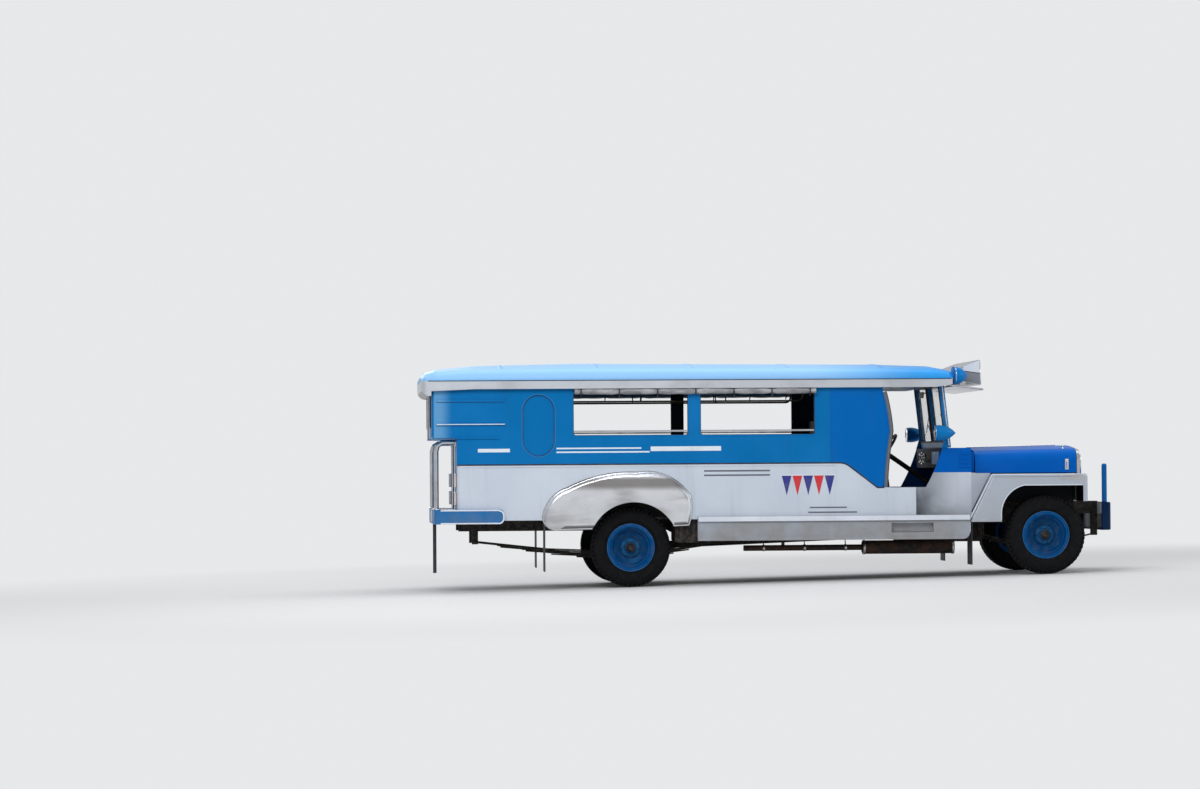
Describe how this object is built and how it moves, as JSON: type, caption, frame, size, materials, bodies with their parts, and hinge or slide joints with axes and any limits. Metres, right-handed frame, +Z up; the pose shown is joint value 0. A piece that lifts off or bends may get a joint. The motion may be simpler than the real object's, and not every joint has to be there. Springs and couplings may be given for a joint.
{
  "type": "jeepney",
  "caption": "Long-bodied jeepney with open side windows, flat-top front fenders, a lifting bonnet, steered front wheels and a rear entrance with a step.",
  "frame": {"origin": "on the ground under the middle of the bounding box", "axes": "+X forward, +Y to the vehicle's left, +Z up"},
  "size_m": [6.686, 1.942, 2.1813],
  "materials": {
    "black_steel": "satin black, dusty",
    "cast_engine": "oily",
    "rusty_steel": "rusted",
    "floor_plate": "worn plate",
    "blue_paint": "gloss, worn",
    "roof_blue": "gloss, worn",
    "silver_paint": "satin, dirty",
    "stainless": "polished, dented",
    "lamp_chrome": "polished",
    "clear_glass": "clear",
    "seat_vinyl": "worn vinyl",
    "black_plastic": "satin",
    "curtain_cloth": "canvas",
    "red_lens": "lens",
    "flap_rubber": "matte",
    "tyre": "matte",
    "wheel_blue": "gloss, dirty"
  },
  "bodies": {
    "vehicle": {"chassis_frame": "black_steel", "controls": "black_plastic", "cowl": "blue_paint", "engine_block": "cast_engine", "exhaust": "rusty_steel", "floor": "floor_plate", "front_axle": "black_steel", "front_bumper": "blue_paint", "front_fenders": "silver_paint", "front_springs": "black_steel", "fuel_tank": "black_steel", "grille": "stainless", "headlamps": "lamp_chrome", "lower_side_left": "silver_paint", "lower_side_right": "silver_paint", "mud_flaps": "flap_rubber", "prop_shaft": "black_steel", "radiator": "black_steel", "rails": "stainless", "rear_axle": "black_steel", "rear_fenders": "stainless", "rear_springs": "black_steel", "rear_step": "blue_paint", "rear_wall": "blue_paint", "rockers": "silver_paint", "rolled_curtains": "curtain_cloth", "roof": "roof_blue", "roof_gutters": "stainless", "roof_header": "stainless", "roof_pods": "blue_paint", "seat_cushions": "seat_vinyl", "seat_frames": "floor_plate", "side_mirrors": "blue_paint", "steering_column": "black_steel", "tail_lamps": "red_lens", "upper_side_left": "blue_paint", "upper_side_right": "blue_paint", "windscreen_frame": "blue_paint", "windscreen_glass": "clear_glass"},
    "hood": {"hood": "blue_paint"},
    "steering_wheel": {"steering_wheel": "black_plastic"},
    "knuckle_left": {"knuckle_left": "black_steel"},
    "tie_rod": {"tie_rod": "black_steel"},
    "knuckle_right": {"knuckle_right": "black_steel"},
    "front_left_wheel": {"tyre_front_left": "tyre", "wheel_front_left": "wheel_blue"},
    "front_right_wheel": {"tyre_front_right": "tyre", "wheel_front_right": "wheel_blue"},
    "rear_left_wheel": {"tyre_rear_left": "tyre", "wheel_rear_left": "wheel_blue"},
    "rear_right_wheel": {"tyre_rear_right": "tyre", "wheel_rear_right": "wheel_blue"}
  },
  "joints": [
    {"name": "steer_left", "type": "hinge", "parent": "vehicle", "child": "knuckle_left", "pos_m": [2.65645, 0.59, 0.38], "axis": [0.0227, 0, 0.9997], "range_deg": [-30, 30]},
    {"name": "front_left_spin", "type": "hinge", "parent": "knuckle_left", "child": "front_left_wheel", "pos_m": [2.65645, 0.74, 0.38], "axis": [0, 1, 0], "continuous": true},
    {"name": "rear_left_spin", "type": "hinge", "parent": "vehicle", "child": "rear_left_wheel", "pos_m": [-1.37555, 0.74, 0.38], "axis": [0, 1, 0], "continuous": true},
    {"name": "steer_right", "type": "hinge", "parent": "vehicle", "child": "knuckle_right", "pos_m": [2.65645, -0.59, 0.38], "axis": [0.0227, 0, 0.9997], "range_deg": [-30, 30]},
    {"name": "front_right_spin", "type": "hinge", "parent": "knuckle_right", "child": "front_right_wheel", "pos_m": [2.65645, -0.74, 0.38], "axis": [0, 1, 0], "continuous": true},
    {"name": "rear_right_spin", "type": "hinge", "parent": "vehicle", "child": "rear_right_wheel", "pos_m": [-1.37555, -0.74, 0.38], "axis": [0, 1, 0], "continuous": true},
    {"name": "tie_rod_link", "type": "hinge", "parent": "knuckle_left", "child": "tie_rod", "pos_m": [2.51601, 0.59, 0.36218], "axis": [0.0227, 0, 0.9997], "range_deg": [-30, 30]},
    {"name": "steering_wheel_turn", "type": "hinge", "parent": "vehicle", "child": "steering_wheel", "pos_m": [1.28338, 0.38, 1.22989], "axis": [-0.8059, 0, 0.592], "range_deg": [-450, 450]},
    {"name": "hood_lift", "type": "hinge", "parent": "vehicle", "child": "hood", "pos_m": [1.97915, 0, 1.2121], "axis": [0, -1, 0], "range_deg": [0, 55]}
  ],
  "couplings": [
    {"joint": "steer_right", "follows": "steer_left", "ratio": 1},
    {"joint": "tie_rod_link", "follows": "steer_left", "ratio": -1},
    {"joint": "steering_wheel_turn", "follows": "steer_left", "ratio": 15}
  ]
}
